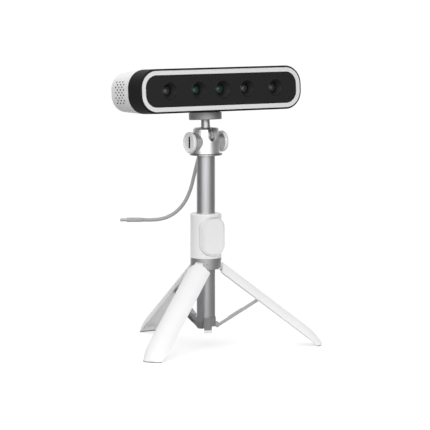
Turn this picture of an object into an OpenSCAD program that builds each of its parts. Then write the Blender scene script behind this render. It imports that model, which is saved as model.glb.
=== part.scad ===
// Face scanner: a long, round-cornered scanning head on a ball joint, carried by a telescopic pole
// with a folding three-legged stand. Front is -Y, up is +Z, and the pole's axis is X = Y = 0.

/* [Pole] */
// Outer diameter of the outer tube
pole_d = 18.5; // [17.5:0.1:19]
// Wall of each tube
tube_wall = 0.7; // [0.5:0.05:0.8]
// Radial step from the bore of one tube to the outside of the next
stage_gap = 0.6; // [0.5:0.05:0.8]
// Height of the outer tube's top above the floor
pole_top_z = 193; // [188:0.5:198]
// Travel of each telescopic stage
stage_travel = 125; // [90:1:130]
// Length of the guide bush at the foot of each stage
bush_l = 14; // [10:0.5:18]
// Length of the guide ring in the mouth of each tube
cap_l = 10; // [7:0.5:12]

/* [Sleeve and hub] */
// Outer diameter of the sleeve, the hub and the folded legs
sleeve_d = 31.2; // [30.6:0.1:33]
// Height of the sleeve's lower end above the floor
sleeve_z = 90.1; // [88:0.1:92]
// Length of the sleeve
sleeve_l = 44.6; // [43:0.1:60]
// Wall of the sleeve
sleeve_wall = 1.8; // [1.4:0.1:2.2]
// Depth of the hub below the sleeve
hub_l = 11; // [10.6:0.1:12]

/* [Legs] */
// Angle between an open leg and the pole
leg_angle = 52.5; // [50:0.5:55]
// Distance of each hinge pin from the pole's axis
hinge_r = 12.5; // [12.3:0.05:12.7]
// Height of the hinge pins above the floor
hinge_z = 84.4; // [84:0.1:85]
// Diameter of the hinge pins
hinge_pin_d = 2; // [1.6:0.1:2.4]
// Length of the leg's curved foot
nose_l = 21; // [18:0.5:24]
// Radius of the inward curve at the leg's foot
leg_nose_r = 65; // [60:1:75]
// Wall of the leg's shell
leg_wall = 1.8; // [1.5:0.1:2]
// Half of the angle that one leg covers round the pole
leg_half_angle = 58; // [54:0.5:58.5]
// Thickness of the foot pad
pad_t = 0.9; // [0.7:0.1:1.4]

/* [Struts and collar] */
// Distance from the hinge pin to the strut pin along the leg
strut_at = 56.3; // [54:0.1:58]
// Distance between the strut's two pivots
strut_l = 53.5; // [52.5:0.1:55]
// Width of the strut
strut_w = 6.4; // [5.5:0.1:7]
// Thickness of the strut
strut_t = 2.6; // [2.2:0.1:2.8]
// Diameter of the strut's pins
strut_pin_d = 1.4; // [1.2:0.1:1.4]
// Outer diameter of the collar at the pole's foot
collar_d = 20.6; // [20:0.1:21]
// Length of the collar
collar_l = 9.2; // [8.5:0.1:10]

/* [Ball joint] */
// Height of the ball's centre above the outer tube's top
ball_rise = 19.5; // [18:0.1:21]
// Diameter of the ball
ball_d = 18.6; // [18:0.1:18.8]
// Backward lean of the stem, which raises the scanner's face
head_tilt = 3.4; // [0:0.1:6]
// Diameter of the stem where it meets the mounting disc
stem_d = 8.6; // [7.5:0.1:9.2]
// Outer diameter of the housing at its foot
housing_d = 28.8; // [27.8:0.1:29.4]
// Outer diameter of the housing at its rim
housing_top_d = 25.8; // [25:0.1:26.6]
// Diameter of the flange below the housing
flange_d = 33; // [31:0.1:34]
// Diameter of the clamping knobs
knob_d = 21.2; // [20.4:0.1:21.6]
// Thickness of the clamping knobs
knob_t = 4; // [3.5:0.1:4.5]
// Length of the side bosses beyond the housing's foot
boss_l = 2.1; // [1.5:0.1:3]
// Diameter of the mounting disc
disc_d = 32.9; // [31:0.1:34]
// Thickness of the mounting disc
disc_t = 7.1; // [6:0.1:7.5]

/* [Scanner head] */
// Overall length of the head
head_l = 189; // [186:0.5:195]
// Overall height of the head
head_h = 43.7; // [43:0.1:45]
// Radius of the head's corners, seen from the front
corner_r = 18.5; // [16:0.1:20]
// Depth of the head from front to back
head_depth = 63.8; // [61:0.1:66]
// Depth of the black front housing
band_depth = 23.8; // [23:0.1:26]
// Distance from the pole's axis to the head's front face
head_front = 33.6; // [32:0.1:35]
// Wall of the two shells
head_wall = 1.8; // [1.6:0.1:2]
// Width of the light ring
ring_w = 4.3; // [4:0.1:5]
// Radius of the rear shell's back edge
back_r = 6; // [4:0.5:8]
// Draft of the rear shell, in degrees
draft = 3.5; // [1:0.1:4]
// Diameter of the middle lens port
port_mid_d = 17.5; // [16:0.1:18]
// Diameter of the other lens ports
port_d = 16.4; // [15:0.1:17]
// Diameter of each vent hole
vent_d = 1.7; // [1.2:0.1:1.9]
// Height between rows of vent holes
vent_row_pitch = 2.6; // [2.3:0.05:2.7]
// Distance between the holes of a row
vent_pitch = 6.6; // [5:0.1:7]

/* [Remote control] */
// Width of the remote control
remote_w = 26; // [24:0.1:26.4]
// Height of the remote control
remote_h = 38.7; // [36:0.1:39.5]
// Distance from the pole's axis to the remote control's face
remote_face = 14.9; // [14.7:0.1:16]

/* [Cord] */
// Diameter of the cord
cord_d = 3.7; // [3:0.1:4]

/* [Hidden] */
$fn = 96;
// Overshoot of a cut past the face that it opens
cut = 1;
// Radial clearance of a shaft or ball in its bore
run = 0.05;
// Clearance between pieces that move past each other
free = 0.3;
// Clearance between pieces that lie against each other in one body
seat = 0.05;

// Sleeve and hub
pole_r = pole_d / 2;
sleeve_r = sleeve_d / 2;
sleeve_edge = 1.2;
guide_bore = pole_r + run;
guide_wall = 0.6;
guide_r = guide_bore + guide_wall;
guide_l = 5;
hub_z = sleeve_z - hub_l;
hub_bush_l = 1.6;
hub_bush_wall = 0.7;
hub_bush_r = guide_bore + hub_bush_wall;
hub_bush_out = 0.6;

// Leg outline, drawn folded with the leg's middle along +X
leg_azimuths = [210, 330, 90];
pin_r = hinge_pin_d / 2;
leg_inner_r = sleeve_r - leg_wall;
barrel_wall = 1.3;
barrel_r = pin_r + barrel_wall;
barrel_half = 4.4;
crown_drop = 3.5;
crown_half = 4.2;
shoulder_drop = 4.2;
arm_l = 12;
arm_back = 5;
arm_in = 0.8;
pin_half = 8.5;
rib_angle = 7;
rib_t = 1.3;
rib_r = leg_inner_r - rib_t;
lip_x = rib_r * cos(leg_half_angle);
lip_l = (hinge_z + (lip_x - hinge_r) * sin(leg_angle)) / cos(leg_angle);
leg_straight = lip_l - nose_l;
curve_z = hinge_z - leg_straight;
nose_share = 0.86;
nose_z = curve_z - nose_share * nose_l;
foot_over = 2.5;
foot_r = 2.2;
foot_drop = nose_l + foot_over;
leg_foot_z = curve_z - foot_drop;

// Struts: both pivots lie on one line beside the pole when the legs are folded
pivot_in = 1.2;
pivot_r = hinge_r - pivot_in;
leg_pivot_r = hinge_r + strut_at * sin(leg_angle) - pivot_in * cos(leg_angle);
leg_pivot_z = hinge_z - strut_at * cos(leg_angle) - pivot_in * sin(leg_angle);
strut_lean = asin((leg_pivot_r - pivot_r) / strut_l);
foot_pivot_z = leg_pivot_z - strut_l * cos(strut_lean);
strut_pin_r = strut_pin_d / 2;
eye_wall = 0.85;
eye_r = strut_pin_r + eye_wall;
eye_half = 2.6;
ear_t = 1;
ear_edge = 0.3;
ear_h = 3.8;
ear_lip = 0.6;
ear_half = eye_half + free + ear_t;
trunnion_gap = 0.1;
trunnion_half = ear_half - trunnion_gap;
strut_shoulder = 6;
strut_neck = 14;
strut_step = 0.45;
strut_step_to = 30;
groove_depth = 1;
groove_start = 2;
collar_r = collar_d / 2;
tab_gap = 1.5;
tab_r = leg_inner_r - tab_gap;
tab_w = 5.4;
tab_drop = 6.3;

// Pole and stages
pole_bore = pole_r - tube_wall;
stage_1_r = pole_bore - stage_gap;
stage_1_bore = stage_1_r - tube_wall;
stage_2_r = stage_1_bore - stage_gap;
stage_2_bore = stage_2_r - tube_wall;
collar_rise = 0.25;
collar_z = foot_pivot_z + collar_rise;
collar_floor = 2;
pole_foot_z = collar_z + collar_floor;
cap_z = pole_top_z - cap_l;
stage_foot_z = cap_z - free - stage_travel - bush_l;
plug_depth = 8;

// Ball joint
ball_r = ball_d / 2;
ball_z = pole_top_z + ball_rise;
flange_t = 1.5;
flange_z = pole_top_z + free;
housing_z = flange_z + flange_t + free;
housing_rise = 8;
housing_top_z = ball_z + housing_rise;
housing_bevel = 1.3;
rim_r = 7;
notch_gap = 0.7;
notch_r = stem_d / 2 + notch_gap;
knob_lift = 0.7;
knob_z = housing_z + knob_lift + knob_d / 2;
knob_rim = 1.2;
dish_r = 39.5;
dish_depth = 1;
slot_l = 11.5;
slot_w = 2.4;
slot_depth = 2.6;
knob_over = 0.7;
boss_r = knob_d / 2 - knob_over;
boss_x = housing_d / 2 + boss_l;
knob_x = boss_x + free + knob_t;
screw_r = 2;
screw_tip = sqrt(pow(ball_r, 2) - pow(max(0, ball_z - knob_z - screw_r), 2)) + free;
post_h = 3;
cup_floor = 2;
seat_drop = 3;
seat_top_z = ball_z - seat_drop;
stem_taper = 0.6;
stem_l = 16.1;
disc_z = ball_z + stem_l;
disc_edge = 0.8;
pad_h = 0.5;
pad_inset = 1.5;
stud_r = 3.125;
stud_l = 6;

// Scanner head, drawn level: pieces are profiles of (distance from the core, distance forward)
core_x = head_l / 2 - corner_r;
core_z = head_h / 2 - corner_r;
head_bottom_z = disc_z + disc_t + pad_h + free;
head_z = head_bottom_z + head_h / 2;
rim_t = 1.8;
front_round = 1.4;
ring_r = corner_r - rim_t;
ring_bore = ring_r - ring_w;
ring_t = 4;
ring_sink = 0.2;
ledge_w = 1.5;
ledge_t = 1.6;
window_t = 2;
window_sink = 0.4;
bench_t = 3;
bench_sink = 12;
bench_f = head_front - bench_sink;
bench_rim = 2;
lens_x = [-61.2, -27.4, 0.6, 29.5, 63.3];
lens_d = [port_d, port_d, port_mid_d, port_d, port_d];
barrel_sink = 0.8;
barrel_lip = 0.7;
barrel_floor = 1.5;
cone_depth = 5;
glass_share = 0.62;
vent_rows = 9;
vent_columns = 3;
vent_y = 8.2;
shell_lip = 3;
lip_t = 0.9;
shell_l = head_depth - band_depth;
split_f = head_front - band_depth;
back_f = head_front - head_depth;
foot_boss_r = 15;
foot_boss_floor = 1;
insert_r = 5;
insert_l = 8;
post_in = 9;
post_x = core_x - post_in;
post_z = 11;
post_r = 3;
screw_d = 2.4;
screw_head_d = 4.6;
screw_head_t = 1.6;
screw_sink = 1.4;
board_t = 1.6;
board_gap = 1;
board_over = 6;
board_over_z = 2.5;
light_board_t = 1.2;

// Remote control
remote_r = 10.8;
remote_gap = 0.3;
saddle_gap = 0.2;
remote_back_r = guide_r + saddle_gap;
remote_back = 6.5;
remote_drop = 0.3;
remote_z = sleeve_z + sleeve_l / 2 - remote_drop;
key_t = 1.2;
key_rim = 1.1;
key_stroke = 0.5;
key_proud = 0.1;
cell_gap = 0.6;
cell_d = 16;
cell_t = 1.6;
remote_board_t = 0.6;

// Cord: points chosen along the photographed curve, from the gland to the plug, with their heights
// measured from the ball
cord_points = [
    [12.5, 20.5, 17], [12.5, 20.5, 9.5], [12.2, 21.8, 0.5], [11.4, 23.3, -8.5], [9.8, 25, -17.5],
    [7.8, 26.9, -26], [6, 28, -34.5], [4.2, 29.2, -43], [2.4, 30.3, -52], [-0.2, 32, -61],
    [-3.8, 34.3, -69.5], [-9, 37.7, -77.2], [-15.5, 41.8, -82.9], [-23, 46.6, -86.3],
    [-31, 51.8, -87.5], [-39, 57, -87.5]
];
cord_route = [for (point = cord_points) point + [0, 0, ball_z]];
cord_sides = 8;
gland_r = 3.4;
gland_l = 7.4;
gland_in = 5;
gland_taper = 0.8;
plug_l = 16.8;
plug_w = 9;
plug_t = 3.9;
plug_wall = 0.6;
tongue_l = 6.5;
tongue_w = 8.3;
tongue_t = 2.5;

// Ring between two radii, standing on z = 0
module ring(outer, inner, height) {
    difference() {
        cylinder(r = outer, h = height);
        translate([0, 0, -cut]) cylinder(r = inner, h = height + 2 * cut);
    }
}

// Cylinder lying along Y, centred on the origin
module cross_pin(radius, half) {
    rotate([90, 0, 0]) cylinder(r = radius, h = 2 * half, center = true);
}

// Side outline in the plane of X and Z, given thickness along Y
module side_plate(half) {
    rotate([90, 0, 0]) linear_extrude(2 * half, center = true) children();
}

// Sleeve: moulded grip with a guide ring at its top and a pocket for the remote control
module remote_outline(grow) {
    w = remote_w / 2 - remote_r;
    h = remote_h / 2 - remote_r;
    for (x = [-w, w], y = [-h, h]) translate([x, y]) circle(remote_r + grow);
    square([2 * w, remote_h + 2 * grow], center = true);
    square([remote_w + 2 * grow, 2 * h], center = true);
}

module remote_prism(grow, front, back) {
    translate([0, -back, remote_z]) rotate([90, 0, 0]) linear_extrude(front - back) remote_outline(grow);
}

module sleeve() {
    color("white") difference() {
        union() {
            difference() {
                translate([0, 0, sleeve_z]) rotate_extrude() {
                    square([sleeve_r, sleeve_l - sleeve_edge]);
                    square([sleeve_r - sleeve_edge, sleeve_l]);
                    translate([sleeve_r - sleeve_edge, sleeve_l - sleeve_edge]) circle(sleeve_edge);
                }
                translate([0, 0, sleeve_z - cut])
                    cylinder(r = sleeve_r - sleeve_wall, h = sleeve_l - guide_l + cut);
                remote_prism(remote_gap, sleeve_r + cut, remote_back);
            }
            translate([0, 0, sleeve_z]) cylinder(r = guide_r, h = sleeve_l);
        }
        translate([0, 0, sleeve_z - cut]) cylinder(r = guide_bore, h = sleeve_l + 2 * cut);
    }
}

// Hub: ring under the sleeve, cut out over each leg's top and its shoulders
module hub_cut() {
    top = hinge_z + barrel_r + free;
    crown = hinge_z - crown_drop + 2 * free;
    low = crown - shoulder_drop;
    half = barrel_half + free;
    translate([guide_bore - cut, 0, 0]) rotate([90, 0, 90]) linear_extrude(sleeve_r - guide_bore + 2 * cut)
        polygon([
            [-half, top], [-half, crown], [-leg_inner_r, low], [-leg_inner_r, hub_z - cut],
            [leg_inner_r, hub_z - cut], [leg_inner_r, low], [half, crown], [half, top]
        ]);
}

module hub() {
    color("silver") difference() {
        translate([0, 0, hub_z]) cylinder(r = sleeve_r, h = hub_l);
        translate([0, 0, hub_z - cut]) cylinder(r = guide_bore, h = hub_l + 2 * cut);
        translate([0, 0, hub_z - cut]) cylinder(r = hub_bush_r + seat, h = hub_bush_l + cut);
        for (azimuth = leg_azimuths) rotate([0, 0, azimuth]) {
            hub_cut();
            translate([hinge_r, 0, hinge_z]) cross_pin(pin_r, pin_half);
        }
    }
}

module hub_bush() {
    color("dimgray") translate([0, 0, hub_z - hub_bush_out])
        ring(hub_bush_r, guide_bore, hub_bush_l + hub_bush_out);
}

module hinge_pins() {
    color("gray") for (azimuth = leg_azimuths)
        rotate([0, 0, azimuth]) translate([hinge_r, 0, hinge_z]) cross_pin(pin_r, pin_half);
}

// Leg: a third of a tube that closes round the pole when folded, drawn folded along +X
module leg_profile(radius, over = 0) {
    curve = leg_nose_r - sleeve_r + radius;
    tip_share = (foot_drop - foot_r) / (curve - foot_r);
    tip_x = radius - curve + (curve - foot_r) * sqrt(1 - tip_share * tip_share);
    translate([0, curve_z]) square([radius, hinge_z - crown_drop - curve_z + over]);
    difference() {
        intersection() {
            translate([radius - curve, curve_z]) circle(curve);
            translate([0, leg_foot_z]) square([radius, curve_z - leg_foot_z]);
        }
        difference() {
            translate([tip_x, leg_foot_z - cut]) square([radius, cut + foot_drop - tip_share * curve]);
            translate([tip_x, leg_foot_z + foot_r]) circle(foot_r);
        }
    }
}

module leg_sector(half_angle) {
    rotate([0, 0, -half_angle]) rotate_extrude(angle = 2 * half_angle) children();
}

module leg_shoulders() {
    reach = sleeve_r * sin(leg_half_angle) + cut;
    slope = shoulder_drop / (sleeve_r * sin(leg_half_angle) - crown_half);
    top = hinge_z - crown_drop;
    low = top - slope * (reach - crown_half);
    for (side = [0, 1]) mirror([0, side, 0]) rotate([90, 0, 90]) linear_extrude(sleeve_r + cut)
        polygon([[crown_half, top], [reach, low], [reach, top + cut], [crown_half, top + cut]]);
}

// Room inside the plane of the leg's lips, which keeps the curved foot's edges straight
module lip_cut() {
    translate([-sleeve_r, -sleeve_r, leg_foot_z - cut])
        cube([sleeve_r + lip_x, sleeve_d, foot_drop + cut]);
}

module leg_folded() {
    difference() {
        leg_sector(leg_half_angle) difference() {
            leg_profile(sleeve_r);
            translate([-cut, nose_z]) square([rib_r + cut, leg_straight * 2]);
        }
        leg_sector(leg_half_angle - rib_angle) intersection() {
            translate([0, nose_z]) square([leg_inner_r, leg_straight * 2]);
            leg_profile(leg_inner_r, cut);
        }
        leg_shoulders();
        lip_cut();
    }
    leg_arm();
    strut_ears();
}

// Arm from the leg's crown up to its hinge barrel
module leg_arm() {
    arm_r = leg_inner_r + leg_wall / 3;
    difference() {
        union() {
            side_plate(barrel_half) polygon([
                [hinge_r - barrel_r, hinge_z], [hinge_r + barrel_r, hinge_z],
                [arm_r, hinge_z - crown_drop], [arm_r, hinge_z - arm_l],
                [leg_inner_r - arm_in, hinge_z - arm_l], [hinge_r - barrel_r, hinge_z - arm_back]
            ]);
            translate([hinge_r, 0, hinge_z]) cross_pin(barrel_r, barrel_half);
        }
        translate([hinge_r, 0, hinge_z]) cross_pin(pin_r + run, pin_half);
    }
}

// Pair of ears inside the leg that carry the strut pin
module strut_ears() {
    ear_y = ear_half - ear_t / 2;
    ear_z = hinge_z - strut_at;
    difference() {
        for (side = [-1, 1]) translate([0, side * ear_y, 0]) side_plate(ear_t / 2) {
            translate([pivot_r, ear_z]) circle(eye_r);
            translate([pivot_r, ear_z - eye_r]) square([leg_inner_r + leg_wall / 4 - pivot_r, 2 * eye_r]);
        }
        translate([pivot_r, 0, ear_z]) cross_pin(strut_pin_r, ear_half + cut);
    }
}

module opened(azimuth) {
    rotate([0, 0, azimuth]) translate([hinge_r, 0, hinge_z]) rotate([0, -leg_angle, 0])
        translate([-hinge_r, 0, -hinge_z]) children();
}

module leg(azimuth) {
    color("white") difference() {
        opened(azimuth) leg_folded();
        translate([-leg_straight * 2, -leg_straight * 2, pad_t - leg_straight])
            cube([leg_straight * 4, leg_straight * 4, leg_straight]);
    }
}

module foot_pad(azimuth) {
    color("gray") intersection() {
        opened(azimuth) difference() {
            leg_sector(leg_half_angle) leg_profile(sleeve_r);
            lip_cut();
        }
        translate([-leg_straight * 2, -leg_straight * 2, 0])
            cube([leg_straight * 4, leg_straight * 4, pad_t]);
    }
}

module strut_pin(azimuth) {
    color("gray") opened(azimuth) translate([pivot_r, 0, hinge_z - strut_at])
        cross_pin(strut_pin_r, ear_half);
}

// Strut: stepped bar from the leg's pin down to the collar, with trunnions at its foot
module strut(azimuth) {
    color("silver") rotate([0, 0, azimuth]) translate([leg_pivot_r, 0, leg_pivot_z])
        rotate([0, strut_lean, 0]) difference() {
            union() {
                cross_pin(eye_r, eye_half);
                translate([0, 0, -strut_l]) cross_pin(eye_r, eye_half);
                translate([0, 0, -strut_l]) cross_pin(strut_pin_r, trunnion_half);
                translate([-strut_t / 2, -eye_half, -strut_l]) cube([strut_t, 2 * eye_half, strut_l]);
                translate([-strut_t / 2, -strut_w / 2, strut_neck - strut_l])
                    cube([strut_t, strut_w, strut_l - strut_neck - strut_shoulder]);
                translate([-strut_t / 2 - strut_step, -strut_w / 2, strut_neck - strut_l])
                    cube([strut_t, strut_w, strut_step_to - strut_neck]);
            }
            cross_pin(strut_pin_r + run, eye_half + cut);
            translate([strut_t / 2 - groove_depth, -strut_w / 4, strut_neck + groove_start - strut_l])
                cube([strut_t, strut_w / 2, strut_l - strut_neck - 2 * strut_shoulder]);
        }
}

// Pole: outer tube with the guide ring in its mouth and the strut collar at its foot
module pole_tube() {
    color("silver") translate([0, 0, pole_foot_z]) ring(pole_r, pole_bore, pole_top_z - pole_foot_z);
}

module pole_cap() {
    color("dimgray") translate([0, 0, cap_z]) ring(pole_bore - seat, stage_1_r + run, cap_l);
}

// Pair of ears on the collar for each strut's trunnions, open below
module collar_ears() {
    ear_y = ear_half - ear_t / 2;
    reach = pivot_r + strut_pin_r + free + ear_edge - pole_r;
    for (side = [-1, 1]) translate([0, side * ear_y, 0]) side_plate(ear_t / 2)
        translate([pole_r, foot_pivot_z - ear_lip]) square([reach, ear_h + ear_lip]);
}

// Room in the collar for the trunnions, the eye and the upright strut
module collar_room() {
    slot_r = strut_pin_r + free;
    top = collar_z + collar_l + cut;
    translate([pivot_r, 0, foot_pivot_z]) cross_pin(slot_r, ear_half + cut);
    translate([pivot_r - slot_r, -ear_half - cut, foot_pivot_z - ear_h])
        cube([2 * slot_r, 2 * (ear_half + cut), ear_h]);
    translate([pivot_r - eye_r - free, -eye_half - free, collar_z - collar_l])
        cube([collar_r, 2 * (eye_half + free), foot_pivot_z + eye_r + 2 * free - collar_z + collar_l]);
    translate([pivot_r - strut_t / 2 - free, -eye_half - free, foot_pivot_z])
        cube([collar_r, 2 * (eye_half + free), top - foot_pivot_z]);
}

module collar() {
    color("gray") difference() {
        union() {
            translate([0, 0, collar_z]) cylinder(r = collar_r, h = collar_l);
            for (azimuth = leg_azimuths) rotate([0, 0, azimuth]) collar_ears();
        }
        translate([0, 0, pole_foot_z]) cylinder(r = pole_r + seat, h = collar_l);
        for (azimuth = leg_azimuths) rotate([0, 0, azimuth]) collar_room();
    }
}

module collar_tab() {
    low = collar_z - tab_drop;
    tall = collar_l + tab_drop;
    color("gray") rotate([0, 0, leg_azimuths[0]]) difference() {
        translate([collar_r / 2, ear_half + seat, low]) cube([tab_r, tab_w, tall]);
        translate([0, 0, low - cut]) cylinder(r = collar_r + seat, h = tall + 2 * cut);
        translate([0, 0, low - cut]) ring(2 * sleeve_r, tab_r, tall + 2 * cut);
    }
}

// Telescopic stages
module stage_1() {
    color("silver") translate([0, 0, stage_foot_z])
        ring(stage_1_r, stage_1_bore, pole_top_z - stage_foot_z);
}

module stage_1_bush() {
    color("dimgray") translate([0, 0, stage_foot_z]) ring(pole_bore - run, stage_1_r + seat, bush_l);
}

module stage_1_cap() {
    color("dimgray") translate([0, 0, cap_z]) ring(stage_1_bore - seat, stage_2_r + run, cap_l);
}

module stage_2() {
    color("silver") translate([0, 0, stage_foot_z]) ring(stage_2_r, stage_2_bore, flange_z - stage_foot_z);
}

module stage_2_bush() {
    color("dimgray") translate([0, 0, stage_foot_z]) ring(stage_1_bore - run, stage_2_r + seat, bush_l);
}

// Flange that closes the inner tube and carries the ball joint on a pivot post
module base_flange() {
    color("silver") {
        translate([0, 0, flange_z]) cylinder(r = flange_d / 2, h = flange_t);
        translate([0, 0, flange_z - plug_depth]) cylinder(r = stage_2_bore - seat, h = plug_depth);
        translate([0, 0, flange_z + flange_t]) cylinder(r = screw_r, h = post_h);
    }
}

// Housing: tapered cup with side bosses and a slot in front that lets the stem lie down
module housing_profile() {
    tall = housing_top_z - housing_z;
    rim = housing_top_d / 2;
    polygon([
        [0, 0], [housing_d / 2, 0], [rim, tall - housing_bevel], [rim - housing_bevel, tall], [0, tall]
    ]);
}

module ball_housing() {
    color("lightgray") difference() {
        union() {
            translate([0, 0, housing_z]) rotate_extrude() housing_profile();
            beside(1) cylinder(r = boss_r, h = 2 * boss_x, center = true);
        }
        translate([0, 0, ball_z]) sphere(ball_r + run);
        translate([0, 0, housing_z + cup_floor])
            cylinder(r = ball_r + run, h = ball_z - housing_z - cup_floor);
        translate([0, 0, ball_z]) cylinder(r = rim_r, h = housing_top_z - ball_z + cut);
        translate([0, 0, housing_z - cut]) cylinder(r = screw_r + run, h = post_h + cut);
        translate([-notch_r, -housing_d, ball_z]) cube([2 * notch_r, housing_d, housing_d]);
        translate([0, -housing_d / 2, ball_z]) cross_pin(notch_r, housing_d / 2);
        beside(1) cylinder(r = screw_r + run, h = 2 * housing_d, center = true);
    }
}

module ball_seat() {
    room = screw_r + free;
    color("white") difference() {
        translate([0, 0, housing_z + cup_floor + seat])
            cylinder(r = ball_r, h = seat_top_z - housing_z - cup_floor);
        translate([0, 0, ball_z]) sphere(ball_r + run);
        translate([0, 0, housing_z]) cylinder(r = screw_r + 1, h = 2 * ball_r);
        translate([-ball_d, -room, knob_z - room]) cube([2 * ball_d, 2 * room, ball_d]);
        translate([0, -housing_d / 2, ball_z]) cross_pin(notch_r, housing_d / 2);
    }
}

// Knobs: dished white discs on the ends of the bosses, each with its clamping screw
module beside(side) {
    translate([0, 0, knob_z]) rotate([0, side * 90, 0]) children();
}

module knob(side) {
    rim_at = knob_d / 2 - knob_rim;
    color("white") beside(side) difference() {
        translate([0, 0, knob_x - knob_t]) rotate_extrude() {
            square([rim_at, knob_t]);
            translate([0, knob_rim]) square([knob_d / 2, knob_t - 2 * knob_rim]);
            translate([rim_at, knob_rim]) circle(knob_rim);
            translate([rim_at, knob_t - knob_rim]) circle(knob_rim);
        }
        translate([0, 0, knob_x - dish_depth + dish_r]) sphere(dish_r);
        translate([-slot_l / 2, -slot_w / 2, knob_x - slot_depth]) cube([slot_l, slot_w, knob_t]);
    }
}

module knob_screw(side) {
    color("darkgray") beside(side) translate([0, 0, screw_tip])
        cylinder(r = screw_r, h = knob_x - knob_t - screw_tip);
}

// Pieces that lean with the ball
module on_ball() {
    translate([0, 0, ball_z]) rotate([-head_tilt, 0, 0]) translate([0, 0, -ball_z]) children();
}

module ball_stem() {
    color("silver") on_ball() {
        translate([0, 0, ball_z]) sphere(ball_r);
        translate([0, 0, ball_z])
            cylinder(r1 = stem_d / 2 + stem_taper, r2 = stem_d / 2, h = disc_z - ball_z);
    }
}

module mount_disc() {
    color("darkgray") on_ball() {
        translate([0, 0, disc_z]) rotate_extrude() {
            translate([0, disc_edge]) square([disc_d / 2, disc_t - disc_edge]);
            square([disc_d / 2 - disc_edge, disc_t]);
            translate([disc_d / 2 - disc_edge, disc_edge]) circle(disc_edge);
        }
        translate([0, 0, disc_z + disc_t]) cylinder(r = stud_r, h = pad_h + free + stud_l);
    }
}

module mount_pad() {
    color("dimgray") on_ball() translate([0, 0, disc_z + disc_t])
        ring(disc_d / 2 - pad_inset, stud_r + seat, pad_h);
}

// Head pieces: a profile revolved round the core's four corners and run straight along its sides
module pod() {
    for (turn = [0, 180]) translate([0, 0, head_z]) rotate([0, turn, 0]) {
        for (side = [0, 1]) translate([(1 - 2 * side) * core_x, 0, core_z]) rotate([90, 0, 0])
            rotate([0, 0, 90 * side]) rotate_extrude(angle = 90) children();
        translate([-core_x, 0, core_z]) rotate([180, -90, 0]) linear_extrude(2 * core_x) children();
        translate([core_x, 0, core_z]) rotate([180, 0, 0]) linear_extrude(2 * core_z) children();
    }
}

// Plate that fills the core between two distances forward
module core_plate(back, front) {
    translate([-core_x, -front, head_z - core_z]) cube([2 * core_x, front - back, 2 * core_z]);
}

// Flat profile between two radii and two distances forward
module slab(inner, outer, back, front) {
    translate([inner, back]) square([outer - inner, front - back]);
}

// Flat plate over the whole front, up to one radius from the core
module front_plate(outer, back, front) {
    pod() slab(0, outer, back, front);
    core_plate(back, front);
}

module front_housing() {
    color("black") on_ball() pod() difference() {
        union() {
            slab(0, corner_r, split_f, head_front - front_round);
            slab(0, corner_r - front_round, split_f, head_front);
            translate([corner_r - front_round, head_front - front_round]) circle(front_round);
        }
        slab(-cut, ring_r + seat, head_front - ring_t, head_front + cut);
        slab(-cut, ring_bore - ledge_w, split_f - cut, head_front);
        slab(-cut, corner_r - head_wall, split_f - cut, head_front - ring_t - ledge_t);
    }
}

module light_ring() {
    color("whitesmoke") on_ball() pod()
        slab(ring_bore, ring_r, head_front - ring_t, head_front - ring_sink);
}

module along_lenses() {
    for (i = [0:len(lens_x) - 1]) translate([lens_x[i], 0, head_z]) rotate([90, 0, 0])
        linear_extrude(head_front) circle(lens_d[i] / 2 + seat);
}

module front_window() {
    front = head_front - window_sink;
    color("black") on_ball() difference() {
        front_plate(ring_bore - seat, front - window_t, front);
        along_lenses();
    }
}

// Rear shell: drafted, rounded at the back, vented at both ends
module shell_profile(inset, over = 0) {
    edge = back_r - inset;
    slant = (shell_l - back_r + back_r * sin(draft)) / cos(draft);
    centre_x = corner_r - slant * sin(draft) - back_r * cos(draft);
    centre_f = back_f + back_r;
    start = corner_r - inset / cos(draft) + over * tan(draft);
    polygon([
        [0, split_f + over], [start, split_f + over],
        [centre_x + edge * cos(draft), centre_f + edge * sin(draft)],
        [centre_x, centre_f], [centre_x, centre_f - edge], [0, centre_f - edge]
    ]);
    translate([centre_x, centre_f]) circle(edge);
}

// Wall of the rear shell with the lip that fits inside the front housing
module shell_wall() {
    lip_r = corner_r - head_wall - seat;
    difference() {
        shell_profile(0);
        shell_profile(head_wall, cut);
    }
    slab(lip_r - lip_t, lip_r, split_f - shell_lip, split_f + shell_lip);
}

// Vents at both ends: every second row stands half a pitch further forward
module vents() {
    reach = 4 * head_wall;
    for (end = [0, 1], row = [0:vent_rows - 1], column = [0:vent_columns - 1]) {
        back = vent_y + vent_pitch * (column - (vent_columns - 1) / 2 + (row % 2 == 0 ? 0.25 : -0.25));
        up = vent_row_pitch * (row - (vent_rows - 1) / 2);
        mirror([end, 0, 0]) translate([head_l / 2 - reach, back, head_z + up]) rotate([0, 90, 0])
            cylinder(d = vent_d, h = reach + cut);
    }
}

module posts(radius, from, to) {
    for (x = [-post_x, post_x], z = [-post_z, post_z]) translate([x, -from, head_z + z]) rotate([90, 0, 0])
        cylinder(r = radius, h = to - from);
}

module rear_shell() {
    color("white") difference() {
        on_ball() difference() {
            union() {
                pod() shell_wall();
                core_plate(back_f, back_f + head_wall);
                intersection() {
                    translate([0, 0, head_bottom_z])
                        cylinder(r = foot_boss_r, h = insert_l + foot_boss_floor);
                    translate([-head_h, -split_f + seat, 0]) cube([2 * head_h, head_depth, head_z]);
                }
                posts(post_r, back_f + head_wall / 2, split_f);
            }
            vents();
            posts(screw_d / 2, back_f - cut, split_f + cut);
            posts(screw_head_d / 2, back_f - cut, back_f + screw_sink + screw_head_t);
            translate([0, 0, head_bottom_z - cut]) cylinder(r = insert_r, h = insert_l + cut);
        }
        translate(cord_route[0]) cylinder(r = gland_r + seat, h = gland_l + gland_in + cut);
    }
}

module tripod_insert() {
    color("goldenrod") on_ball() translate([0, 0, head_bottom_z])
        ring(insert_r - seat, stud_r + run, insert_l - seat);
}

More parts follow.
